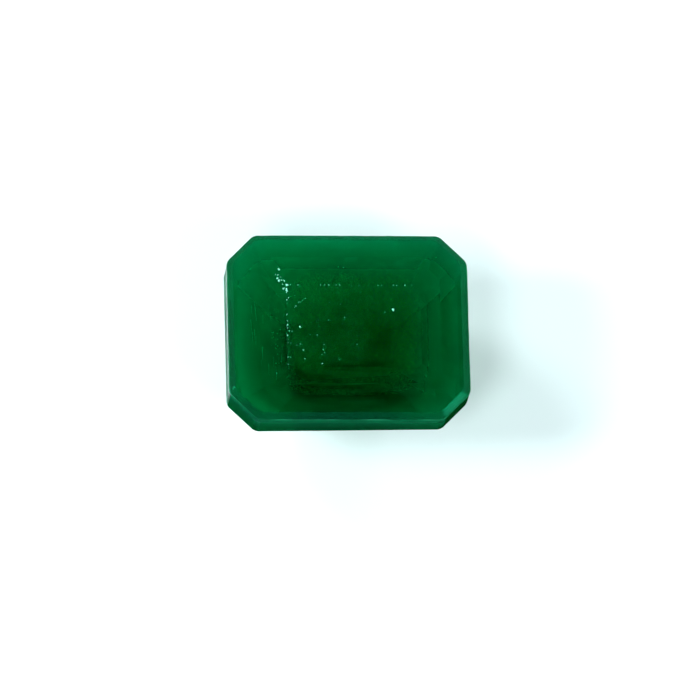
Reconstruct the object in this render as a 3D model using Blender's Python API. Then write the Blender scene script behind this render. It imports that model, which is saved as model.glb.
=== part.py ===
"""An octagonal step-cut emerald that stands on its flat culet, with the table up.

The stone is shaped as a gem cutter shapes it: a plain block is ground down by one flat
plane for each facet, ring by ring, from the wall up to the table and down to the culet.
Lengths are in metres. X runs along the stone, Y from its front to its back, and Z up
from the middle of the stone's outline at the height of the culet.
"""

import math
from collections import namedtuple

import bmesh
import bpy
from mathutils import Matrix, Vector

MM = 0.001

# The outline of the stone, seen from above, which its upright wall follows.
LENGTH = 11.0 * MM
WIDTH = 8.8 * MM
CORNER_CUT = 1.26 * MM

# The pavilion's rings of facets, from the culet up: their heights and their slopes.
PAVILION_STEP_HEIGHTS = (0.90 * MM, 1.15 * MM, 1.30 * MM)
PAVILION_ANGLES = tuple(math.radians(angle) for angle in (36.0, 45.0, 57.0))
# How far each ring cuts the four corners of the outline at its lower edge.
PAVILION_CORNER_CUTS = (0.35 * MM, 0.60 * MM, 0.92 * MM)
# The pavilion was ground a little askew, so the wall is higher at the left than at the right.
PAVILION_LEAN = math.radians(2.4)

WALL_HEIGHT = 1.62 * MM

# The crown's rings of facets, from the wall up: a narrow bevel and two low steps.
CROWN_STEP_HEIGHTS = (0.27 * MM, 0.40 * MM, 0.11 * MM)
# The stone was cut by eye, so a ring isn't equally wide on each side. Each set gives the
# widths of one ring at the left, right, front and back.
CROWN_STEP_WIDTHS = (
    (0.27 * MM, 0.33 * MM, 0.27 * MM, 0.27 * MM),
    (1.66 * MM, 1.00 * MM, 1.27 * MM, 1.55 * MM),
    (0.72 * MM, 0.93 * MM, 0.69 * MM, 0.81 * MM),
)
# How far each ring cuts the four corners of the outline at its upper edge.
CROWN_CORNER_CUTS = (1.11 * MM, 0.48 * MM, 0.20 * MM)

# Wear has rounded the upright edges between the wall's eight faces.
WORN_RADIUS = 0.55 * MM
WORN_FACETS = 2

# The block that the stone is ground from is this much larger than the stone.
BLOCK_ALLOWANCE = 1.2
# Points nearer to a grinding plane than this count as lying on it.
ON_PLANE = 1e-8

STONE_COLOUR = (0.012, 0.20, 0.075, 1.0)
STONE_ROUGHNESS = 0.06
STONE_IOR = 1.58

# One horizontal section of the stone: its height, how far each side lies from the
# vertical axis, and how far its corners are cut.
Section = namedtuple("Section", "height left right front back corner")

SIDE_DIRECTIONS = {
    "left": Vector((-1, 0, 0)),
    "right": Vector((1, 0, 0)),
    "front": Vector((0, -1, 0)),
    "back": Vector((0, 1, 0)),
}
CORNERS = (("left", "front"), ("right", "front"), ("right", "back"), ("left", "back"))
UP = Vector((0, 0, 1))


def clear_scene():
    """Removes whatever the opened file holds."""
    for obj in list(bpy.data.objects):
        bpy.data.objects.remove(obj)


def wall_section(height):
    """The full outline at one height."""
    return Section(height, LENGTH / 2, LENGTH / 2, WIDTH / 2, WIDTH / 2, CORNER_CUT)


def stepped_in(section, rise, widths, corner):
    """The section at the far edge of a ring of facets that starts at the given section."""
    left, right, front, back = widths
    return Section(
        section.height + rise,
        section.left - left,
        section.right - right,
        section.front - front,
        section.back - back,
        corner,
    )


def crown_sections():
    """The sections from the top of the wall up to the table."""
    sections = [wall_section(sum(PAVILION_STEP_HEIGHTS) + WALL_HEIGHT)]
    for rise, widths, corner in zip(CROWN_STEP_HEIGHTS, CROWN_STEP_WIDTHS, CROWN_CORNER_CUTS):
        sections.append(stepped_in(sections[-1], rise, widths, corner))
    return sections


def pavilion_sections():
    """The sections from the bottom of the wall down to the culet."""
    sections = [wall_section(sum(PAVILION_STEP_HEIGHTS))]
    rings = list(zip(PAVILION_STEP_HEIGHTS, PAVILION_ANGLES, PAVILION_CORNER_CUTS))
    for drop, angle, corner in reversed(rings):
        width = drop / math.tan(angle)
        sections.append(stepped_in(sections[-1], -drop, (width,) * 4, corner))
    return sections


def facet_lines(section):
    """The eight sides of a section, each as (outward direction, distance from the axis)."""
    lines = [(way, getattr(section, side)) for side, way in SIDE_DIRECTIONS.items()]
    for first, second in CORNERS:
        way = (SIDE_DIRECTIONS[first] + SIDE_DIRECTIONS[second]).normalized()
        reach = getattr(section, first) + getattr(section, second) - section.corner
        lines.append((way, reach / math.sqrt(2)))
    return lines


def worn_lines(section):
    """Lines that touch the worn rounding at each of the section's eight upright edges."""
    lines = []
    for first, second in CORNERS:
        diagonal = (SIDE_DIRECTIONS[first] + SIDE_DIRECTIONS[second]).normalized()
        cut = (getattr(section, first) + getattr(section, second) - section.corner) / math.sqrt(2)
        for side in (first, second):
            straight = SIDE_DIRECTIONS[side]
            # The rounding's centre is one radius inside both lines that meet here.
            inner = Matrix((straight.xy, diagonal.xy)).inverted() @ Vector(
                (getattr(section, side) - WORN_RADIUS, cut - WORN_RADIUS)
            )
            for step in range(1, WORN_FACETS + 1):
                way = straight.slerp(diagonal, step / (WORN_FACETS + 1))
                lines.append((way, inner.dot(way.xy) + WORN_RADIUS))
    return lines


def grind(stone, point, outward):
    """Cuts off all that lies beyond a plane, and closes the stone with one flat facet."""
    cut = bmesh.ops.bisect_plane(
        stone,
        geom=stone.verts[:] + stone.edges[:] + stone.faces[:],
        dist=ON_PLANE,
        plane_co=point,
        plane_no=outward,
        clear_outer=True,
    )
    rim = [item for item in cut["geom_cut"] if isinstance(item, bmesh.types.BMEdge)]
    if rim:
        bmesh.ops.edgeloop_fill(stone, edges=rim)


def grind_ring(stone, lower, upper, lines, setting=Matrix()):
    """Grinds one ring of facets, each through its side of the lower and upper sections.

    The setting turns the stone against the wheel, so that the whole ring comes out askew.
    """
    rise = upper.height - lower.height
    for (way, lower_reach), (_, upper_reach) in zip(lines(lower), lines(upper)):
        point = way * lower_reach + UP * lower.height
        outward = way * rise + UP * (lower_reach - upper_reach)
        grind(stone, setting @ point, (setting.to_3x3() @ outward).normalized())


def cut_stone():
    """The finished stone: a block that is ground ring by ring."""
    pavilion = pavilion_sections()
    crown = crown_sections()
    wall_foot, wall_top = pavilion[0], crown[0]
    table_height = crown[-1].height
    pivot = Matrix.Translation(UP * wall_foot.height)
    askew = pivot @ Matrix.Rotation(-PAVILION_LEAN, 4, "Y") @ pivot.inverted()

    stone = bmesh.new()
    bmesh.ops.create_cube(stone, size=1.0)
    block_size = Vector((LENGTH, WIDTH, table_height)) * BLOCK_ALLOWANCE
    bmesh.ops.scale(stone, vec=block_size, verts=stone.verts)
    bmesh.ops.translate(stone, vec=UP * table_height / 2, verts=stone.verts)

    grind_ring(stone, wall_foot, wall_top, facet_lines)
    for lower, upper in zip(crown, crown[1:]):
        grind_ring(stone, lower, upper, facet_lines)
    for upper, lower in zip(pavilion, pavilion[1:]):
        grind_ring(stone, lower, upper, facet_lines, askew)
    grind(stone, UP * table_height, UP)
    grind(stone, Vector(), -UP)

    grind_ring(stone, wall_foot, wall_top, worn_lines)
    grind_ring(stone, crown[0], crown[1], worn_lines)
    grind_ring(stone, pavilion[1], pavilion[0], worn_lines, askew)

    bmesh.ops.recalc_face_normals(stone, faces=stone.faces[:])
    return stone


def emerald_material():
    """Clear green beryl with a worn polish."""
    material = bpy.data.materials.new("emerald_crystal")
    material.use_nodes = True
    shader = material.node_tree.nodes["Principled BSDF"]
    shader.inputs["Base Color"].default_value = STONE_COLOUR
    shader.inputs["Roughness"].default_value = STONE_ROUGHNESS
    shader.inputs["Metallic"].default_value = 0.0
    shader.inputs["IOR"].default_value = STONE_IOR
    shader.inputs["Transmission Weight"].default_value = 1.0
    return material


def main():
    clear_scene()
    collection = bpy.data.collections.new("cut_emerald")
    bpy.context.scene.collection.children.link(collection)
    stone = cut_stone()
    mesh = bpy.data.meshes.new("cut_emerald")
    stone.to_mesh(mesh)
    stone.free()
    mesh.materials.append(emerald_material())
    collection.objects.link(bpy.data.objects.new("cut_emerald", mesh))


main()
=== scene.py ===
# %% [markdown]
# # A step-cut emerald
#
# This lesson dresses one loose emerald. The stone is cut in steps, with a narrow bevel and
# two low steps of facets round a flat table, and it lies with that table up.
#
# The solid model already has the right facets at the right size. What is missing is the
# crystal itself: deep green that darkens with depth, cloudy inclusions, the faint satin of
# a plain polish and the nicks that wear leaves along the facet edges.

# %% Load the frame
import math

import bmesh
import bpy
from mathutils import Matrix, Vector


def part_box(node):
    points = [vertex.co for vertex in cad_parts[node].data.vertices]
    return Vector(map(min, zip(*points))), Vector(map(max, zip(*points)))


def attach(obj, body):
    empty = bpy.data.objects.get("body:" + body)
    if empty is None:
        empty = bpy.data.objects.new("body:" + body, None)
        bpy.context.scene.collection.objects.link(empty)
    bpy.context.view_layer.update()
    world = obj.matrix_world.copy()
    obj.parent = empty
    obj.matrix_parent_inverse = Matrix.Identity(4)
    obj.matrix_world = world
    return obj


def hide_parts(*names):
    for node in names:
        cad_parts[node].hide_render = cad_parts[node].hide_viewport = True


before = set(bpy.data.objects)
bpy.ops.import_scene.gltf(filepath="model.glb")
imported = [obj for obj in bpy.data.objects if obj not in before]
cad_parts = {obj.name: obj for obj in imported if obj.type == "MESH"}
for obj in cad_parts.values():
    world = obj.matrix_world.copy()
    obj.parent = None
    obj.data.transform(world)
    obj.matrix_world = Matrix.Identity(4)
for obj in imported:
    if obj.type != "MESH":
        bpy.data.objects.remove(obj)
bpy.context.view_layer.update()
MM = 0.001
STONE = "cut_emerald"
BODY = "root"
# The heights of the crown's edges, from the top of the wall up to the table.
CROWN_BASE = 4.97 * MM
BEVEL_TOP = 5.24 * MM
STEP_HEIGHT = 5.64 * MM
TABLE_HEIGHT = 5.75 * MM
stone_low, stone_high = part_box(STONE)
print("the stone measures", [round(side / MM, 2) for side in stone_high - stone_low], "mm")

# %% [markdown]
# ## The camera
#
# A small thing is photographed from a little way off with a long lens, so that its far
# edges look as long as its near ones. Here the camera leans 18 degrees towards the front
# and 5 to the left of straight down, which is why the stone's front wall shows as a thin
# band below its front edge, and its left wall as a pale line.
#
# The distance follows from the stone: in the 675 pixel frame a millimetre is 22 pixels.

# %% Place the camera
FRAME_PIXELS = 675
PIXELS_PER_MM = 21.97
STONE_CENTRE_PIXEL = Vector((348.4, 327.6))
LENS = 500.0
SENSOR = 36.0
LEAN_FRONT = math.radians(18.0)
LEAN_LEFT = math.radians(5.0)
# The stone's length and width can't both be level in a leaning view. This share of the
# roll follows the width, and the rest the length.
ROLL_SHARE = 0.1


def camera_axes():
    """The camera's right, up and backward directions, with the stone's sides kept level."""
    back = Vector((-math.sin(LEAN_LEFT), -math.sin(LEAN_FRONT), 0))
    back.z = math.sqrt(1 - back.length_squared)
    up_from_length = back.cross(Vector((1, 0, 0))).normalized()
    right_from_length = up_from_length.cross(back).normalized()
    right_from_width = Vector((0, 1, 0)).cross(back).normalized()
    right = right_from_length.lerp(right_from_width, ROLL_SHARE).normalized()
    return right, back.cross(right), back


def place_camera():
    """Puts the middle of the stone's outline on its pixel in the photograph."""
    right, up, back = camera_axes()
    distance = FRAME_PIXELS / PIXELS_PER_MM * MM * LENS / SENSOR
    offset = (STONE_CENTRE_PIXEL - Vector((1, 1)) * FRAME_PIXELS / 2) / PIXELS_PER_MM * MM
    eye = Vector((0, 0, CROWN_BASE)) + back * distance - right * offset.x + up * offset.y
    camera = bpy.data.objects.new("camera", bpy.data.cameras.new("camera"))
    camera.data.lens = LENS
    camera.data.sensor_width = SENSOR
    camera.data.clip_start = 1 * MM
    camera.matrix_world = Matrix.Translation(eye) @ Matrix((right, up, back)).transposed().to_4x4()
    bpy.context.scene.collection.objects.link(camera)
    bpy.context.scene.camera = camera
    return distance


print("the camera is", round(place_camera() / MM, 1), "mm from the stone")

# %% [markdown]
# ## The floor and the light
#
# A polished stone is a mirror, so what stands round it matters as much as the lamps. The
# table and the low crown steps reflect what is overhead, and in the photograph they stay
# deep green, so there is nothing bright there. The light comes in low from all round, and
# from soft lamps that stand where no large facet of the crown sends their light to the
# camera.
#
# The world is a plain gradient from a bright horizon to a dark top, and the lamps are
# discs. Each lamp's power is worked out from the share of the floor's light it gives.

# %% Helpers for objects and materials
def link(item):
    """Shows an object in the scene."""
    bpy.context.scene.collection.objects.link(item)
    return item


def new_material(name):
    """A material with its node tree, its shader and its output."""
    material = bpy.data.materials.new(name)
    material.use_nodes = True
    nodes = material.node_tree.nodes
    return material, nodes["Principled BSDF"], nodes["Material Output"]


def add_node(tree, kind, inputs=None, **settings):
    """Adds a node. Each input is given a value, or the output that feeds it."""
    node = tree.nodes.new(kind)
    for name, value in settings.items():
        setattr(node, name, value)
    for name, value in (inputs or {}).items():
        if isinstance(value, bpy.types.NodeSocket):
            tree.links.new(value, node.inputs[name])
        else:
            node.inputs[name].default_value = value
    return node


def ramp(tree, value, start, end, at_start=0.0, at_end=1.0, shape="LINEAR"):
    """Turns a value that runs from start to end into one that runs between two others."""
    limits = {"From Min": start, "From Max": end, "To Min": at_start, "To Max": at_end}
    node = add_node(
        tree, "ShaderNodeMapRange", {"Value": value, **limits}, interpolation_type=shape
    )
    return node.outputs["Result"]


print("the stage and the stone share these helpers")

# %% Lay the floor
FLOOR_SIZE = 0.5
FLOOR_GAP = 0.02 * MM
FLOOR_COLOUR = (0.77, 0.94, 0.96, 1.0)
FLOOR_ROUGHNESS = 0.9
FLOOR_SHINE = 0.1


def build_floor():
    """A plain pale sheet just under the stone."""
    sheet = bmesh.new()
    bmesh.ops.create_grid(sheet, x_segments=1, y_segments=1, size=FLOOR_SIZE)
    bmesh.ops.translate(sheet, vec=(0, 0, -FLOOR_GAP), verts=sheet.verts)
    mesh = bpy.data.meshes.new("floor")
    sheet.to_mesh(mesh)
    sheet.free()
    material, shader, _ = new_material("pale_floor")
    shader.inputs["Base Color"].default_value = FLOOR_COLOUR
    shader.inputs["Roughness"].default_value = FLOOR_ROUGHNESS
    shader.inputs["Specular IOR Level"].default_value = FLOOR_SHINE
    mesh.materials.append(material)
    link(bpy.data.objects.new("floor", mesh))


build_floor()
print("the floor lies", FLOOR_GAP / MM, "mm below the stone")

# %% Light the sky
# The sky is bright below one height and dark above another, where 1 is straight up.
HORIZON_TOP = 0.36
HORIZON_LIGHT = 1.55
DARK_FROM = 0.58
DARK_LIGHT = 0.008


def build_world():
    """A bright horizon that fades to a dark top."""
    world = bpy.data.worlds.new("studio")
    world.use_nodes = True
    tree = world.node_tree
    direction = add_node(tree, "ShaderNodeTexCoord")
    height = add_node(tree, "ShaderNodeSeparateXYZ", {0: direction.outputs["Generated"]})
    fade = ramp(
        tree,
        height.outputs["Z"],
        HORIZON_TOP,
        DARK_FROM,
        HORIZON_LIGHT,
        DARK_LIGHT,
        "SMOOTHSTEP",
    )
    tree.links.new(fade, tree.nodes["Background"].inputs["Strength"])
    tree.nodes["Background"].inputs["Color"].default_value = (1, 1, 1, 1)
    bpy.context.scene.world = world


build_world()
print("the horizon is", round(HORIZON_LIGHT / DARK_LIGHT), "times as bright as the top")

# %% Set the lamps
LAMP_REACH = 0.25
# Each lamp: its compass angle and its height in degrees, its diameter in metres, and the
# share of the floor's light that it gives.
LAMPS = {
    "front_left_lamp": (232, 56, 0.08, 0.28),
    "front_right_lamp": (310, 48, 0.08, 0.25),
    "left_lamp": (182, 34, 0.08, 0.40),
    "back_left_lamp": (136, 32, 0.08, 0.22),
    "back_right_lamp": (58, 14, 0.06, 0.06),
    "right_lamp": (332, 16, 0.08, 0.05),
    "low_left_lamp": (178, 9, 0.06, 0.015),
}


def add_lamp(name, compass, height, diameter, share):
    """A soft disc that lights the floor by its share, from its own direction."""
    compass, height = math.radians(compass), math.radians(height)
    way = Vector((math.cos(compass), math.sin(compass), math.tan(height))).normalized()
    lamp = bpy.data.lights.new(name, "AREA")
    lamp.shape = "DISK"
    lamp.size = diameter
    # A lamp puts its power times the sine of its height, over pi and the squared reach, on
    # the floor, and the floor sends that over pi to the camera.
    lamp.energy = share * math.pi**2 * LAMP_REACH**2 / math.sin(height)
    item = link(bpy.data.objects.new(name, lamp))
    item.location = way * LAMP_REACH
    item.rotation_euler = way.to_track_quat("Z", "Y").to_euler()


for lamp_name, settings in LAMPS.items():
    add_lamp(lamp_name, *settings)
bpy.context.scene.view_settings.view_transform = "Standard"
print(len(LAMPS), "lamps light the floor")

# %% [markdown]
# ## Light inside the stone
#
# Light that enters a cut stone turns many corners before it comes out: it bounces off one
# pavilion facet after another. A ray that is cut short gives black, so the limits on
# bounces are raised from those that suit a room.

# %% Let light bounce inside
BOUNCES = {
    "max_bounces": 24,
    "transmission_bounces": 24,
    "glossy_bounces": 16,
    "diffuse_bounces": 6,
}
for limit, count in BOUNCES.items():
    setattr(bpy.context.scene.cycles, limit, count)
print("light may turn", BOUNCES["max_bounces"], "corners inside the stone")

# %% [markdown]
# ## The facets
#
# On the real stone each facet is one flat plane, and the edges between facets are worn:
# from close up they are narrow rounded strips that catch a thin line of light. Between two
# steps of the crown the facets nearly lie in one plane, and there the wear is wider.
#
# The solid arrives as loose triangles. A copy of it is merged, and triangles that lie in
# one plane are joined into one facet again. Then a narrow bevel rounds each edge. Edges
# between two strips of the same rounded corner are left alone, because they are smooth
# already.
#
# The strips are marked with an attribute, so that the finish can make them duller. Shading
# them smooth alone would bend the flat facets too, so a Weighted Normal modifier gives
# each large facet its own direction back.

# %% Helpers for worn edges
WORN_SEGMENTS = 2
ROUND_PROFILE = 0.5
LARGE_FACETS_FIRST = 100
# How far up a facet of the crown's steps points at the least, and one of the pavilion at
# the most, where 1 is straight up and -1 straight down.
CROWN_FACET_LOWEST = 0.85
PAVILION_FACET_HIGHEST = -0.3


def round_edges(crystal, edges, width):
    """Wears edges down to strips of the same width, and marks the strips as worn."""
    worn = crystal.faces.layers.float["worn"]
    strips = bmesh.ops.bevel(
        crystal,
        geom=edges,
        offset=width,
        segments=WORN_SEGMENTS,
        profile=ROUND_PROFILE,
        affect="EDGES",
        clamp_overlap=True,
    )
    for face in strips["faces"]:
        face[worn] = 1.0


def between_steps(edge):
    """Whether an edge lies between two facets of the crown's steps, or two of the pavilion."""
    tilts = [face.normal.z for face in edge.link_faces]
    return min(tilts) > CROWN_FACET_LOWEST or max(tilts) < PAVILION_FACET_HIGHEST


def smooth_worn_strips(stone):
    """Bends the light evenly across each worn strip, while the facets between stay flat."""
    stone.data.shade_smooth()
    stone.modifiers.new("even_normals", "WEIGHTED_NORMAL").weight = LARGE_FACETS_FIRST
    evaluated = stone.evaluated_get(bpy.context.evaluated_depsgraph_get())
    stone.data = bpy.data.meshes.new_from_object(evaluated)
    stone.modifiers.clear()


print("each worn edge becomes", WORN_SEGMENTS, "strips")

# %% Make the crystal from the solid
MERGE_DISTANCE = 1e-4 * MM
FLAT_ANGLE = math.radians(0.5)
SHARP_ANGLE = math.radians(3.0)
WORN_WIDTH = 0.035 * MM
STEP_WORN_WIDTH = 0.11 * MM


def crystal_mesh():
    """The stone's facets with worn edges, as a closed mesh."""
    crystal = bmesh.new()
    crystal.from_mesh(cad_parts[STONE].data)
    crystal.faces.layers.float.new("worn")
    bmesh.ops.remove_doubles(crystal, verts=crystal.verts, dist=MERGE_DISTANCE)
    bmesh.ops.dissolve_limit(
        crystal, angle_limit=FLAT_ANGLE, verts=crystal.verts, edges=crystal.edges
    )
    facets = len(crystal.faces)
    soft = [edge for edge in crystal.edges if between_steps(edge)]
    round_edges(crystal, soft, STEP_WORN_WIDTH)
    sharp = [
        edge
        for edge in crystal.edges
        if not between_steps(edge) and edge.calc_face_angle(0) > SHARP_ANGLE
    ]
    round_edges(crystal, sharp, WORN_WIDTH)
    mesh = bpy.data.meshes.new("emerald_crystal")
    crystal.to_mesh(mesh)
    crystal.free()
    print(facets, "facets and", len(soft) + len(sharp), "worn edges")
    return mesh


crystal = link(bpy.data.objects.new("emerald_crystal", crystal_mesh()))
smooth_worn_strips(crystal)

# %% [markdown]
# ## The green of the crystal
#
# Emerald isn't painted green. Its chromium takes red and blue out of the light on the way
# through, so the thin rim looks pale and the deep middle nearly black. That is what a
# Volume Absorption does: it takes away a share of each colour for each millimetre.
#
# The surface has a faint green film as well. The coat's tint stands for the light that is
# coloured in the outermost skin, and keeps the wall from turning grey where it mirrors the
# pale floor at a low angle. Only the left wall goes without it, because there the
# photograph shows the floor's white.
#
# The crown is polished, with faint smudges, and the bevel below it is duller. The wall and
# the pavilion only have a satin finish, which blurs what shows through the table into soft
# light and dark, as in the photograph.
#
# An emerald's colour lies in zones, because the crystal didn't grow evenly. Two soft-edged
# zones tint the crown: painted shade that darkens its front in streaks, and weak colour
# streaks at the left. Each zone is an ellipsoid that is filled by a noise, stretched along
# the way its streaks run.

# %% Helpers for patterns and sums
def noise(tree, place, scale, detail=2.0):
    """A cloudy pattern. The larger its detail, the more fine parts it has."""
    node = add_node(
        tree, "ShaderNodeTexNoise", {"Vector": place, "Scale": scale, "Detail": detail}
    )
    return node.outputs["Fac"]


def blend(tree, share, first, second):
    """The first colour, with a share of it replaced by the second."""
    node = add_node(tree, "ShaderNodeMix", {0: share, 6: first, 7: second}, data_type="RGBA")
    return node.outputs[2]


def math_node(tree, operation, first, second):
    """The result of one sum on two values or outputs."""
    return add_node(tree, "ShaderNodeMath", {0: first, 1: second}, operation=operation).outputs[0]


def vector_node(tree, operation, first, second):
    """A vector sum on two vectors or outputs."""
    return add_node(tree, "ShaderNodeVectorMath", {0: first, 1: second}, operation=operation)


def vector_length(tree, vector):
    """The length of a vector."""
    return vector_node(tree, "LENGTH", vector, Vector()).outputs["Value"]


print("materials and geometry share these helpers")

# %% Tint the crown in zones
STREAK_SCALE = 300.0
STREAK_DETAIL = 3.0
STREAK_RANGE = (0.38, 0.62)
FAINTEST_STREAK = 0.1
# A zone fades from this share of its reach outwards.
ZONE_MIDDLE = 0.55
UNTINTED = (1.0, 1.0, 1.0, 1.0)
# Each zone, of deeper colour or of painted shade: its tint, its centre, its reach, the
# stretch of its streaks and the share of it that is left outside its reach.
ZONES_AND_PAINTED_SHADE = {
    # Painted shade: this zone darkens the front of the crown in streaks.
    "front": (
        (0.05, 0.24, 0.08, 1.0),
        Vector((0.4, -2.9, 5.5)) * MM,
        Vector((4.0, 1.45, 1.2)) * MM,
        Vector((1.2, 9.0, 9.0)),
        0.06,
    ),
    "left": (
        (0.90, 0.90, 1.0, 1.0),
        Vector((-3.9, -0.3, 5.5)) * MM,
        Vector((1.5, 3.0, 1.2)) * MM,
        Vector((9.0, 1.2, 9.0)),
        0.0,
    ),
}


def zone(tree, place, centre, reach, stretch, outside):
    """How strongly a soft-edged zone tints the crown: its streaks, times its reach."""
    from_centre = vector_node(tree, "SUBTRACT", place, centre).outputs[0]
    in_reach = vector_node(tree, "DIVIDE", from_centre, reach).outputs[0]
    outwards = vector_length(tree, in_reach)
    inside = ramp(tree, outwards, 1.0, ZONE_MIDDLE, outside, 1.0, "SMOOTHSTEP")
    stretched = vector_node(tree, "MULTIPLY", place, stretch).outputs[0]
    pattern = noise(tree, stretched, STREAK_SCALE, STREAK_DETAIL)
    streaks = ramp(tree, pattern, *STREAK_RANGE, FAINTEST_STREAK)
    return math_node(tree, "MULTIPLY", inside, streaks)


def crystal_colour_and_painted_shade(tree, place):
    """A clear crystal, tinted in its zones: colour streaks at the left, painted shade at the front.
    """
    colour = UNTINTED
    for tint, *layout in ZONES_AND_PAINTED_SHADE.values():
        colour = blend(tree, zone(tree, place, *layout), colour, tint)
    return colour


print(len(ZONES_AND_PAINTED_SHADE), "zones tint the crown")

# %% Polish the crystal
# The satin finish changes between these two in mottles.
PAVILION_ROUGHNESS = 1.0
PAVILION_SMOOTHER = 0.80
MOTTLE_SCALE = 380.0
MOTTLE_DETAIL = 3.0
MOTTLE_RANGE = (0.35, 0.6)
CROWN_ROUGHNESS = 0.04
SMUDGE_ROUGHNESS = 0.05
SMUDGE_SCALE = 900.0
SMUDGE_DETAIL = 4.0
SMUDGE_RANGE = (0.4, 0.7)
BEVEL_ROUGHNESS = 0.22
BEVEL_FADE = 0.1 * MM
WORN_ROUGHNESS = 0.15
SATIN_BELOW = 3.2 * MM
POLISHED_ABOVE = 4.6 * MM


def crystal_finish(tree, place, height):
    """Satin below, dull on the bevel and the worn edges, and polished above."""
    smudges = noise(tree, place, SMUDGE_SCALE, SMUDGE_DETAIL)
    smudged = CROWN_ROUGHNESS + SMUDGE_ROUGHNESS
    polish = ramp(tree, smudges, *SMUDGE_RANGE, CROWN_ROUGHNESS, smudged)
    bevel = (BEVEL_TOP - BEVEL_FADE, BEVEL_TOP + BEVEL_FADE)
    above = ramp(tree, height, *bevel, BEVEL_ROUGHNESS, polish)
    mottles = noise(tree, place, MOTTLE_SCALE, MOTTLE_DETAIL)
    satin = ramp(tree, mottles, *MOTTLE_RANGE, PAVILION_SMOOTHER, PAVILION_ROUGHNESS)
    finish = ramp(tree, height, SATIN_BELOW, POLISHED_ABOVE, satin, above)
    worn = add_node(tree, "ShaderNodeAttribute", attribute_name="worn").outputs["Fac"]
    frosted = add_node(tree, "ShaderNodeMix", {0: worn, 2: finish, 3: WORN_ROUGHNESS})
    return frosted.outputs[0]


print("the crown's roughness starts at", CROWN_ROUGHNESS, "and the wall's at", PAVILION_SMOOTHER)

# %% Describe the crystal
REFRACTIVE_INDEX = 1.58
# How much red, green and blue light a metre of crystal takes away.
ABSORBED = Vector((1950, 275, 500))
SPECULAR_TINT = (0.0, 0.62, 0.42, 1.0)
FILM_TINT = (0.28, 0.76, 0.60, 1.0)
# A coat with an IOR of 1 only tints, and mirrors nothing.
FILM_IOR = 1.0
# The film starts just inside the left wall, and is whole a little further in.
FILM_FROM = stone_low.x + 0.03 * MM
FILM_WHOLE = stone_low.x + 0.07 * MM


def describe_crystal():
    """The crystal's material: a clear body, a tinted film and a finish that changes with height."""
    material, shader, output = new_material("emerald")
    tree = material.node_tree
    shader.inputs["Transmission Weight"].default_value = 1.0
    shader.inputs["IOR"].default_value = REFRACTIVE_INDEX
    shader.inputs["Specular Tint"].default_value = SPECULAR_TINT
    shader.inputs["Coat IOR"].default_value = FILM_IOR
    shader.inputs["Coat Tint"].default_value = FILM_TINT
    place = add_node(tree, "ShaderNodeTexCoord").outputs["Object"]
    along, _, height = add_node(tree, "ShaderNodeSeparateXYZ", {0: place}).outputs
    tree.links.new(ramp(tree, along, FILM_FROM, FILM_WHOLE), shader.inputs["Coat Weight"])
    tree.links.new(crystal_colour_and_painted_shade(tree, place), shader.inputs["Base Color"])
    tree.links.new(crystal_finish(tree, place, height), shader.inputs["Roughness"])
    body = add_node(tree, "ShaderNodeVolumeAbsorption")
    strongest = max(ABSORBED)
    body.inputs["Density"].default_value = strongest
    body.inputs["Color"].default_value = (*(1 - share / strongest for share in ABSORBED), 1)
    tree.links.new(body.outputs["Volume"], output.inputs["Volume"])
    return material


crystal.data.materials.append(describe_crystal())
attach(crystal, BODY)
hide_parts(STONE)
print("a millimetre of crystal passes", round(math.exp(-ABSORBED.y * MM), 2), "of the green light")

# %% [markdown]
# ## The garden inside
#
# Nearly every emerald is cloudy inside. The clouds are tiny flakes of other minerals and
# drops of fluid, and jewellers call them the garden. They send light back before it has
# gone deep, so a cloudy part looks lighter and flatter than a clear one.
#
# Each flake is too small to model one at a time, so Geometry Nodes scatter them. The
# crystal is filled with points, and a point is kept by chance: often in the middle of a
# cloud, seldom at its edge, and more or less often with the wisps of a noise texture.
# Each point left becomes a thin three-cornered flake, turned and sized at random.
#
# Three clouds lie under the table: a leaf green one at its left, a mossy one at its right,
# and a mossy one of finer flakes along its front edge.

# %% Helpers for geometry nodes
SOCKETS = {int: "NodeSocketInt", float: "NodeSocketFloat", Vector: "NodeSocketVector"}


def start_tree(name, sizes):
    """A tree that takes a mesh and the named sizes. Returns it with its inputs and output."""
    tree = bpy.data.node_groups.new(name, "GeometryNodeTree")
    new_socket = tree.interface.new_socket
    new_socket("Mesh", in_out="INPUT", socket_type="NodeSocketGeometry")
    for label, value in sizes.items():
        new_socket(label, in_out="INPUT", socket_type=SOCKETS[type(value)])
    new_socket("Mesh", in_out="OUTPUT", socket_type="NodeSocketGeometry")
    return tree, add_node(tree, "NodeGroupInput").outputs, add_node(tree, "NodeGroupOutput").inputs


def finish_tree(tree, outputs, geometry, material):
    """Ends a tree with real meshes in one material."""
    real = add_node(tree, "GeometryNodeRealizeInstances", {0: geometry})
    dressed = add_node(
        tree, "GeometryNodeSetMaterial", {"Geometry": real.outputs[0], "Material": material}
    )
    tree.links.new(dressed.outputs[0], outputs[0])
    return tree


def grow(name, tree, source, sizes):
    """Runs a tree on a copy of a mesh, and keeps the result as a plain piece of the stone."""
    piece = link(bpy.data.objects.new(name, source.copy()))
    modifier = piece.modifiers.new(name, "NODES")
    modifier.node_group = tree
    for item in tree.interface.items_tree:
        if item.in_out == "INPUT" and item.name in sizes:
            modifier[item.identifier] = sizes[item.name]
    evaluated = piece.evaluated_get(bpy.context.evaluated_depsgraph_get())
    mesh = bpy.data.meshes.new_from_object(evaluated)
    mesh.name = name
    mesh.shade_smooth()
    piece.modifiers.remove(modifier)
    piece.data = mesh
    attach(piece, BODY)
    print(name, "has", len(mesh.polygons), "faces")
    return piece


def chance(tree, least, most, seed):
    """A random number for each point, between two limits."""
    drawn = add_node(tree, "FunctionNodeRandomValue", {2: least, 3: most, "Seed": seed})
    return drawn.outputs[1]


print("a tree takes", len(SOCKETS), "kinds of size as inputs")

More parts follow.
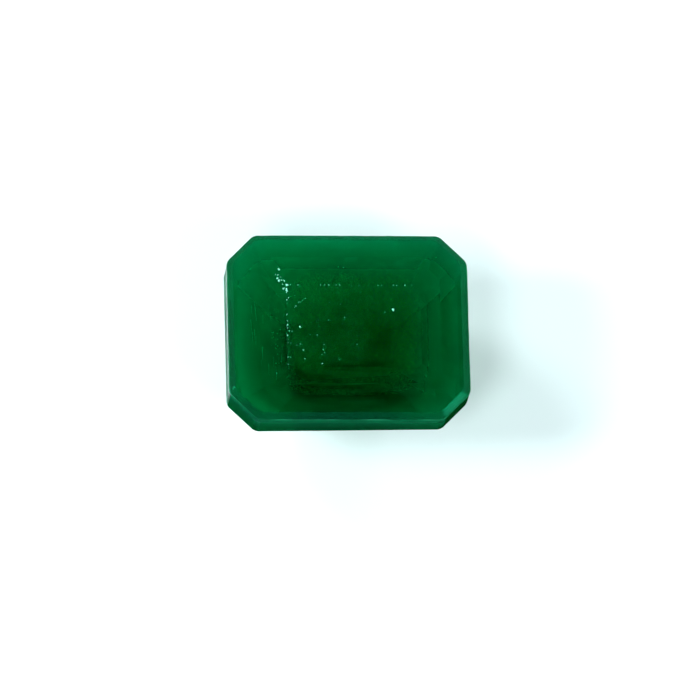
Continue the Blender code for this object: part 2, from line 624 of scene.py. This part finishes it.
# %% Flakes on points
FULL_TURN = 2 * math.pi
FLAKE_CORNERS = 3
FLAKE_THICKNESS = 0.35
SMALLEST_FLAKE = 0.5
LARGEST_FLAKE = 1.3
HUE_SCALE = 700.0


def scatter_on(tree, points, shape, seed, smallest, largest):
    """A copy of a shape on each point, turned and sized at random."""
    turn = add_node(
        tree,
        "FunctionNodeRandomValue",
        {"Max": Vector((1, 1, 1)) * FULL_TURN, "Seed": seed},
        data_type="FLOAT_VECTOR",
    )
    placed = add_node(
        tree,
        "GeometryNodeInstanceOnPoints",
        {
            "Points": points,
            "Instance": shape,
            "Rotation": turn.outputs[0],
            "Scale": chance(tree, smallest, largest, seed),
        },
    )
    return placed.outputs[0]


def flake(tree, radius):
    """A thin closed flake with three corners and one raised point."""
    depth = math_node(tree, "MULTIPLY", radius, FLAKE_THICKNESS)
    shape = add_node(
        tree,
        "GeometryNodeMeshCone",
        {"Vertices": FLAKE_CORNERS, "Radius Bottom": radius, "Depth": depth},
    )
    return shape.outputs["Mesh"]


def describe_flakes(name, colour, paler, roughness=0.5, shine=0.5):
    """Dull mineral flakes whose colour changes a little from wisp to wisp."""
    material, shader, _ = new_material(name)
    tree = material.node_tree
    place = add_node(tree, "ShaderNodeTexCoord").outputs["Object"]
    colours = blend(tree, noise(tree, place, HUE_SCALE), colour, paler)
    tree.links.new(colours, shader.inputs["Base Color"])
    shader.inputs["Roughness"].default_value = roughness
    shader.inputs["Specular IOR Level"].default_value = shine
    return material


leaf_flakes = describe_flakes("leaf_flakes", (0.08, 0.92, 0.40, 1), (0.12, 0.97, 0.54, 1))
moss_flakes = describe_flakes("moss_flakes", (0.04, 0.68, 0.18, 1), (0.06, 0.80, 0.28, 1))
print("one flake has", FLAKE_CORNERS + 1, "faces")

# %% Describe the clouds
# The sizes of the cloud at the left. The others change some of them.
CLOUD_SIZES = {
    "Density": 6.2e12,
    "Flake Size": 0.023 * MM,
    "Skin": 0.10 * MM,
    "Centre": Vector((-0.76, 0.05, 4.7)) * MM,
    "Reach": Vector((2.04, 2.55, 0.82)) * MM,
    "Wisp Stretch": Vector((1.0, 1.6, 2.0)),
    "Wisp Scale": 420.0,
    "Wispiness": 1.4,
    "Seed": 3,
}
# Each cloud: its flakes, and what it changes in the sizes above.
CLOUDS = {
    "cloud_under_table_left": (leaf_flakes, {}),
    "cloud_under_table_right": (
        moss_flakes,
        {
            "Density": 5.0e12,
            "Centre": Vector((1.05, 0.05, 4.7)) * MM,
            "Reach": Vector((2.35, 2.55, 0.82)) * MM,
            "Seed": 4,
        },
    ),
    "cloud_at_table_front": (
        moss_flakes,
        {
            "Density": 13.0e12,
            "Flake Size": 0.0135 * MM,
            "Centre": Vector((0.15, -2.05, 4.7)) * MM,
            "Reach": Vector((3.0, 1.05, 0.75)) * MM,
            "Seed": 11,
        },
    ),
}
print(len(CLOUDS), "clouds lie under the table")

# %% Scatter the clouds
VOXEL = 0.15 * MM
INTERIOR_DEPTH = 6 * MM
# A cloud is even in its middle. The larger this is, the more sharply it ends.
EDGE_STEEPNESS = 2.0
# A noise lies about this, so as much of the wisps is taken off again.
NOISE_MEAN = 0.5


def cloud_tree(material):
    """Fills one cloud of the crystal with flakes, denser in its middle and in its wisps."""
    tree, inputs, outputs = start_tree("cloud", CLOUD_SIZES)
    filled = add_node(
        tree,
        "GeometryNodeMeshToVolume",
        {"Mesh": inputs["Mesh"], "Voxel Size": VOXEL, "Interior Band Width": INTERIOR_DEPTH},
        resolution_mode="VOXEL_SIZE",
    )
    points = add_node(
        tree,
        "GeometryNodeDistributePointsInVolume",
        {"Volume": filled.outputs[0], "Density": inputs["Density"], "Seed": inputs["Seed"]},
    )
    place = add_node(tree, "GeometryNodeInputPosition").outputs[0]
    from_centre = vector_node(tree, "SUBTRACT", place, inputs["Centre"]).outputs[0]
    in_reach = vector_node(tree, "DIVIDE", from_centre, inputs["Reach"]).outputs[0]
    squared = vector_node(tree, "MULTIPLY", in_reach, in_reach).outputs[0]
    outwards = vector_length(tree, squared)
    stretched = vector_node(tree, "MULTIPLY", place, inputs["Wisp Stretch"]).outputs[0]
    pattern = noise(tree, stretched, inputs["Wisp Scale"])
    wisps = math_node(tree, "MULTIPLY", pattern, inputs["Wispiness"])
    taken_off = math_node(tree, "MULTIPLY", inputs["Wispiness"], NOISE_MEAN)
    middle = math_node(tree, "MULTIPLY", math_node(tree, "SUBTRACT", 1.0, outwards), EDGE_STEEPNESS)
    with_wisps = math_node(tree, "ADD", middle, wisps)
    cloudiness = math_node(tree, "SUBTRACT", with_wisps, taken_off)
    inside = math_node(tree, "LESS_THAN", outwards, 1.0)
    share = math_node(tree, "MULTIPLY", cloudiness, inside)
    drawn = chance(tree, 0.0, 1.0, inputs["Seed"])
    skin = add_node(tree, "GeometryNodeProximity", {0: inputs["Mesh"]}).outputs["Distance"]
    near_skin = math_node(tree, "LESS_THAN", skin, inputs["Skin"])
    unlucky = math_node(tree, "GREATER_THAN", drawn, share)
    kept = add_node(
        tree,
        "GeometryNodeDeleteGeometry",
        {"Geometry": points.outputs[0], "Selection": math_node(tree, "ADD", near_skin, unlucky)},
    )
    flakes = scatter_on(
        tree,
        kept.outputs[0],
        flake(tree, inputs["Flake Size"]),
        inputs["Seed"],
        SMALLEST_FLAKE,
        LARGEST_FLAKE,
    )
    return finish_tree(tree, outputs, flakes, material)


for cloud_name, (flakes, changes) in CLOUDS.items():
    grow(cloud_name, cloud_tree(flakes), crystal.data, {**CLOUD_SIZES, **changes})

# %% [markdown]
# ## Nicks
#
# Emerald is brittle, so the sharp edges of its table get nicked. Each nick is a tiny
# crushed spot that shines pale green, and along an edge they read as a dotted line. In
# the photograph the left and back edges of the table and two of its corners have them.
#
# The edges are read from the solid, so the nicks lie where the facets meet. A line is laid
# along each of them, Geometry Nodes put points on it at even steps and keep some of them,
# and each point left is moved onto the stone's surface and becomes a flat grain.

# %% Find the edges of the table
SAME_HEIGHT = 0.01 * MM
# Points of the solid are read to this many digits of a metre.
POINT_DIGITS = 7


def points_at(height):
    """The solid's points at one height, each once."""
    points = [vertex.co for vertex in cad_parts[STONE].data.vertices]
    return {
        tuple(round(share, POINT_DIGITS) for share in point)
        for point in points
        if abs(point.z - height) < SAME_HEIGHT
    }


def sides_at(height):
    """How far the solid reaches to its left, right, front and back at one height."""
    along, across, _ = zip(*points_at(height))
    return min(along), max(along), min(across), max(across)


TABLE_LEFT, TABLE_RIGHT, TABLE_FRONT, TABLE_BACK = sides_at(TABLE_HEIGHT)
STEP_LEFT, _, STEP_FRONT, STEP_BACK = sides_at(STEP_HEIGHT)
print("the table is", round((TABLE_RIGHT - TABLE_LEFT) / MM, 2), "mm long")

# %% Describe the nicks
NICK_SIZES = {
    "Spacing": 0.17 * MM,
    "Nick Size": 0.052 * MM,
    "Share": 0.5,
    "Wander": 0.015 * MM,
    "Depth": 0.012 * MM,
    "Seed": 2,
}
GRAIN_FINISH = {"roughness": 0.4, "shine": 0.2}
pale_grains = describe_flakes(
    "pale_grains", (0.08, 0.60, 0.40, 1), (0.30, 0.92, 0.72, 1), **GRAIN_FINISH
)
green_grains = describe_flakes(
    "green_grains", (0.02, 0.40, 0.20, 1), (0.10, 0.70, 0.42, 1), **GRAIN_FINISH
)
# Each worn edge: the points that it runs through, its grains, and what it changes in the
# sizes above.
NICKED_EDGES = {
    "nicks_at_table_left": (
        ((TABLE_LEFT, TABLE_BACK - 0.2 * MM, TABLE_HEIGHT), (TABLE_LEFT, TABLE_FRONT, TABLE_HEIGHT)),
        pale_grains,
        {"Share": 0.6},
    ),
    "nicks_at_table_back": (
        ((TABLE_LEFT, TABLE_BACK, TABLE_HEIGHT), (TABLE_RIGHT, TABLE_BACK, TABLE_HEIGHT)),
        green_grains,
        {"Nick Size": 0.05 * MM},
    ),
    "nicks_at_back_left_corner": (
        (
            (TABLE_LEFT, TABLE_BACK - 0.45 * MM, TABLE_HEIGHT),
            (TABLE_LEFT - 0.2 * MM, TABLE_BACK + 0.1 * MM, STEP_HEIGHT),
            (STEP_LEFT + 0.25 * MM, STEP_BACK - 0.2 * MM, STEP_HEIGHT),
        ),
        pale_grains,
        {"Spacing": 0.07 * MM, "Share": 0.9, "Wander": 0.19 * MM, "Nick Size": 0.095 * MM},
    ),
    "nicks_at_front_left_corner": (
        (
            (TABLE_LEFT, TABLE_FRONT, TABLE_HEIGHT),
            (STEP_LEFT, STEP_FRONT + 0.3 * MM, STEP_HEIGHT),
        ),
        green_grains,
        {"Share": 0.4, "Wander": 0.05 * MM},
    ),
}
print(len(NICKED_EDGES), "lines of nicks")

# %% Helpers for grains
GRAIN_SEGMENTS = 4
GRAIN_RINGS = 2
GRAIN_SHAPE = Vector((1.0, 0.7, 0.45))


def grain(tree, radius):
    """A flat eight-sided grain."""
    ball = add_node(
        tree,
        "GeometryNodeMeshUVSphere",
        {"Segments": GRAIN_SEGMENTS, "Rings": GRAIN_RINGS, "Radius": radius},
    )
    flat = add_node(tree, "GeometryNodeTransform", {0: ball.outputs[0], "Scale": GRAIN_SHAPE})
    return flat.outputs[0]


def wander(tree, points, distance, seed):
    """Moves each point a little way sideways at random."""
    way = add_node(
        tree,
        "FunctionNodeRandomValue",
        {"Min": Vector((-1, -1, 0)), "Max": Vector((1, 1, 0)), "Seed": seed},
        data_type="FLOAT_VECTOR",
    )
    offset = add_node(
        tree, "ShaderNodeVectorMath", {0: way.outputs[0], "Scale": distance}, operation="SCALE"
    )
    moved = add_node(
        tree, "GeometryNodeSetPosition", {"Geometry": points, "Offset": offset.outputs[0]}
    )
    return moved.outputs[0]


def settle(tree, points, deepest, seed):
    """Moves each point to the stone's surface, and then inwards by up to a depth."""
    stone = add_node(tree, "GeometryNodeObjectInfo", {"Object": crystal})
    surface = add_node(tree, "GeometryNodeProximity", {0: stone.outputs["Geometry"]})
    sunk = math_node(tree, "MULTIPLY", deepest, chance(tree, -1.0, 0.0, seed))
    offset = add_node(tree, "ShaderNodeCombineXYZ", {"Z": sunk})
    moved = add_node(
        tree,
        "GeometryNodeSetPosition",
        {
            "Geometry": points,
            "Position": surface.outputs["Position"],
            "Offset": offset.outputs[0],
        },
    )
    return moved.outputs[0]


print("one grain has", GRAIN_SEGMENTS * GRAIN_RINGS, "faces")

# %% Nick the edges of the table
SMALLEST_NICK = 0.35
LARGEST_NICK = 1.3


def nick_tree(material):
    """Grains at random places along a line."""
    tree, inputs, outputs = start_tree("nicks", NICK_SIZES)
    curve = add_node(tree, "GeometryNodeMeshToCurve", {"Mesh": inputs["Mesh"]})
    points = add_node(
        tree,
        "GeometryNodeCurveToPoints",
        {"Curve": curve.outputs[0], "Length": inputs["Spacing"]},
        mode="LENGTH",
    )
    drawn = chance(tree, 0.0, 1.0, inputs["Seed"])
    kept = add_node(
        tree,
        "GeometryNodeDeleteGeometry",
        {
            "Geometry": points.outputs[0],
            "Selection": math_node(tree, "GREATER_THAN", drawn, inputs["Share"]),
        },
    )
    moved = wander(tree, kept.outputs[0], inputs["Wander"], inputs["Seed"])
    settled = settle(tree, moved, inputs["Depth"], inputs["Seed"])
    grains = scatter_on(
        tree,
        settled,
        grain(tree, inputs["Nick Size"]),
        inputs["Seed"],
        SMALLEST_NICK,
        LARGEST_NICK,
    )
    return finish_tree(tree, outputs, grains, material)


def line_mesh(name, corners):
    """Points joined by edges."""
    mesh = bpy.data.meshes.new(name)
    pairs = [(index, index + 1) for index in range(len(corners) - 1)]
    mesh.from_pydata(corners, pairs, [])
    return mesh


for edge_name, (corners, grains, changes) in NICKED_EDGES.items():
    source = line_mesh(edge_name, corners)
    grow(edge_name, nick_tree(grains), source, {**NICK_SIZES, **changes})

# %% [markdown]
# ## The crushed edge of the wall
#
# The edge between the wall and the bevel sticks out furthest, so it takes the most knocks.
# They have crushed it to a thin dark line that comes and goes.
#
# The line is a thin tube that Geometry Nodes sweep along the outline at the top of the
# wall. Its thickness follows a noise, so in places it is all but gone.

# %% Crush the edge between wall and crown
EDGE_LINE_SIZES = {
    "Line Size": 0.017 * MM,
    "Step": 0.06 * MM,
    "Break Scale": 900.0,
}
LINE_SIDES = 4
BREAK_DETAIL = 3.0
BREAK_RANGE = (0.42, 0.62)
THINNEST_LINE = 0.10


def wall_top_mesh():
    """The closed outline at the top of the wall, read from the solid."""
    ring = sorted(points_at(CROWN_BASE), key=lambda spot: math.atan2(spot[1], spot[0]))
    sides = [(index, (index + 1) % len(ring)) for index in range(len(ring))]
    mesh = bpy.data.meshes.new("wall_top")
    mesh.from_pydata(ring, sides, [])
    return mesh


def edge_line_tree(material):
    """A thin crushed line along a path, thick in some places and all but gone in others."""
    tree, inputs, outputs = start_tree("edge_line", EDGE_LINE_SIZES)
    curve = add_node(tree, "GeometryNodeMeshToCurve", {"Mesh": inputs["Mesh"]})
    path = add_node(
        tree,
        "GeometryNodeResampleCurve",
        {"Curve": curve.outputs[0], "Length": inputs["Step"]},
        mode="LENGTH",
    )
    place = add_node(tree, "GeometryNodeInputPosition").outputs[0]
    breaks = noise(tree, place, inputs["Break Scale"], BREAK_DETAIL)
    thickness = ramp(tree, breaks, *BREAK_RANGE, THINNEST_LINE)
    section = add_node(
        tree,
        "GeometryNodeCurvePrimitiveCircle",
        {"Resolution": LINE_SIDES, "Radius": inputs["Line Size"]},
    )
    line = add_node(
        tree,
        "GeometryNodeCurveToMesh",
        {
            "Curve": path.outputs[0],
            "Profile Curve": section.outputs[0],
            "Scale": thickness,
        },
    )
    return finish_tree(tree, outputs, line.outputs[0], material)


crushed = describe_flakes(
    "crushed_edge", (0.004, 0.16, 0.07, 1), (0.03, 0.38, 0.20, 1), roughness=0.6, shine=0.1
)
grow("crushed_wall_edge", edge_line_tree(crushed), wall_top_mesh(), EDGE_LINE_SIZES)

# %% [markdown]
# ## Pinpoints
#
# Other bright spots lie in the crystal close under the table: single mineral grains that
# happen to catch the light. The largest are placed one by one where the photograph shows
# them, as small flattened balls just under the surface, and Geometry Nodes scatter a loose
# swarm of smaller ones round them.

# %% Set the bright pinpoints
# Each pinpoint: its place along and across the stone, and its radius, in millimetres.
PINPOINTS = (
    (-2.28, -0.24, 0.075),
    (-1.83, -0.59, 0.045),
    (-1.42, -0.11, 0.040),
    (-0.97, 0.10, 0.050),
    (-0.33, -0.06, 0.035),
    (-1.20, -1.07, 0.045),
    (-1.25, -1.31, 0.045),
    (-1.31, -1.55, 0.040),
    (-1.31, -1.98, 0.060),
    (-2.15, -1.34, 0.050),
    (-0.74, -1.21, 0.035),
    (0.04, -0.83, 0.040),
    (0.34, -0.66, 0.035),
    (-0.55, -0.88, 0.030),
    (-1.79, 0.47, 0.035),
    (-2.45, 0.78, 0.050),
    (-2.52, 0.70, 0.040),
    (-1.97, 0.90, 0.030),
    (-2.88, 0.32, 0.040),
    (1.98, 0.63, 0.085),
    (2.00, 0.56, 0.070),
    (1.62, 0.49, 0.045),
    (-0.10, 1.04, 0.035),
    (0.15, 1.81, 0.040),
    (0.52, 1.43, 0.040),
    (-0.22, 2.66, 0.045),
    (-0.45, 2.70, 0.040),
    (2.92, -0.25, 0.035),
    (2.47, -1.17, 0.030),
    (4.05, 3.23, 0.040),
)
# A pinpoint with a radius under this many millimetres is green, and a larger one pale.
SMALL_PINPOINT = 0.048
PINPOINT_SHAPE = (1.0, 0.6, 0.45)
PINPOINT_DEPTH = 0.02 * MM


def on_surface(along, across):
    """The point of the stone's surface above a place."""
    return crystal.ray_cast(Vector((along, across, 1)), Vector((0, 0, -1)))[1]


def pinpoint_mesh():
    """The single grains, just under the surface: the large ones pale, the small ones green."""
    bpy.context.view_layer.update()
    grains = bmesh.new()
    for along, across, radius in PINPOINTS:
        spot = on_surface(along * MM, across * MM) - Vector((0, 0, PINPOINT_DEPTH))
        turn = Matrix.Rotation(along * FULL_TURN, 4, Vector((across, 1, along)))
        shape = Matrix.Diagonal((*(share * radius * MM for share in PINPOINT_SHAPE), 1))
        ball = bmesh.ops.create_icosphere(
            grains, subdivisions=1, radius=1.0, matrix=Matrix.Translation(spot) @ turn @ shape
        )
        for face in {face for vert in ball["verts"] for face in vert.link_faces}:
            face.material_index = int(radius < SMALL_PINPOINT)
    mesh = bpy.data.meshes.new("pinpoints")
    grains.to_mesh(mesh)
    grains.free()
    mesh.materials.append(pale_grains)
    mesh.materials.append(green_grains)
    return mesh


pinpoints = link(bpy.data.objects.new("pinpoints", pinpoint_mesh()))
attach(pinpoints, BODY)
print(len(PINPOINTS), "single pinpoints")

# %% Scatter a swarm round the pinpoints
SMALLEST_SPECK = 0.3
LARGEST_SPECK = 1.3
SWARM_SIZES = {"Density": 1.6e7, "Grain Size": 0.040 * MM, "Depth": 0.25 * MM, "Seed": 8}
SWARM_LOW = Vector((-3.6, -2.1, 5.7)) * MM
SWARM_HIGH = Vector((0.4, 1.5, 5.7)) * MM


def swarm_tree(material):
    """Small grains at random places of a sheet, settled on and just under the surface."""
    tree, inputs, outputs = start_tree("swarm", SWARM_SIZES)
    points = add_node(
        tree,
        "GeometryNodeDistributePointsOnFaces",
        {"Mesh": inputs["Mesh"], "Density": inputs["Density"], "Seed": inputs["Seed"]},
    )
    settled = settle(tree, points.outputs[0], inputs["Depth"], inputs["Seed"])
    grains = scatter_on(
        tree,
        settled,
        grain(tree, inputs["Grain Size"]),
        inputs["Seed"],
        SMALLEST_SPECK,
        LARGEST_SPECK,
    )
    return finish_tree(tree, outputs, grains, material)


def sheet_mesh(low, high):
    """A flat sheet between two corners."""
    corners = [(low.x, low.y, low.z), (high.x, low.y, low.z), (high.x, high.y, low.z)]
    mesh = bpy.data.meshes.new("sheet")
    mesh.from_pydata([*corners, (low.x, high.y, low.z)], [], [(0, 1, 2, 3)])
    return mesh


grow("pinpoint_swarm", swarm_tree(green_grains), sheet_mesh(SWARM_LOW, SWARM_HIGH), SWARM_SIZES)

# %% [markdown]
# ## Growth tubes
#
# While the crystal grew, fluid was trapped in thin tubes that all run the same way. On
# this stone they lie across it near the left, and show as faint upright streaks.
#
# A sheet of random points is laid where they are, and each point gets a thin needle along
# the stone's width, turned by a few degrees at most.

# %% Grow the tubes
TUBE_SIZES = {
    "Density": 4.0e6,
    "Tube Size": 0.006 * MM,
    "Tube Length": 0.6 * MM,
    "Turn": math.radians(4.0),
    "Seed": 1,
}
TUBE_SIDES = 5
TUBE_TAPER = 0.5
SHORTEST_TUBE = 0.4
LONGEST_TUBE = 1.2
TUBES_LOW = Vector((-4.5, -2.2, 5.0)) * MM
TUBES_HIGH = Vector((-3.0, 1.2, 5.0)) * MM


def tube_tree(material):
    """Thin needles across the stone at random places of a sheet."""
    tree, inputs, outputs = start_tree("tubes", TUBE_SIZES)
    points = add_node(
        tree,
        "GeometryNodeDistributePointsOnFaces",
        {"Mesh": inputs["Mesh"], "Density": inputs["Density"], "Seed": inputs["Seed"]},
    )
    needle = add_node(
        tree,
        "GeometryNodeMeshCone",
        {
            "Vertices": TUBE_SIDES,
            "Radius Top": math_node(tree, "MULTIPLY", inputs["Tube Size"], TUBE_TAPER),
            "Radius Bottom": inputs["Tube Size"],
            "Depth": inputs["Tube Length"],
        },
    )
    tilt = chance(tree, -1.0, 1.0, inputs["Seed"])
    turn = add_node(
        tree,
        "ShaderNodeCombineXYZ",
        {"X": math.pi / 2, "Z": math_node(tree, "MULTIPLY", tilt, inputs["Turn"])},
    )
    tubes = add_node(
        tree,
        "GeometryNodeInstanceOnPoints",
        {
            "Points": points.outputs[0],
            "Instance": needle.outputs[0],
            "Rotation": turn.outputs[0],
            "Scale": chance(tree, SHORTEST_TUBE, LONGEST_TUBE, inputs["Seed"]),
        },
    )
    return finish_tree(tree, outputs, tubes.outputs[0], material)


tube_filling = describe_flakes("tube_filling", (0.012, 0.20, 0.13, 1), (0.02, 0.29, 0.20, 1))
grow("growth_tubes", tube_tree(tube_filling), sheet_mesh(TUBES_LOW, TUBES_HIGH), TUBE_SIZES)
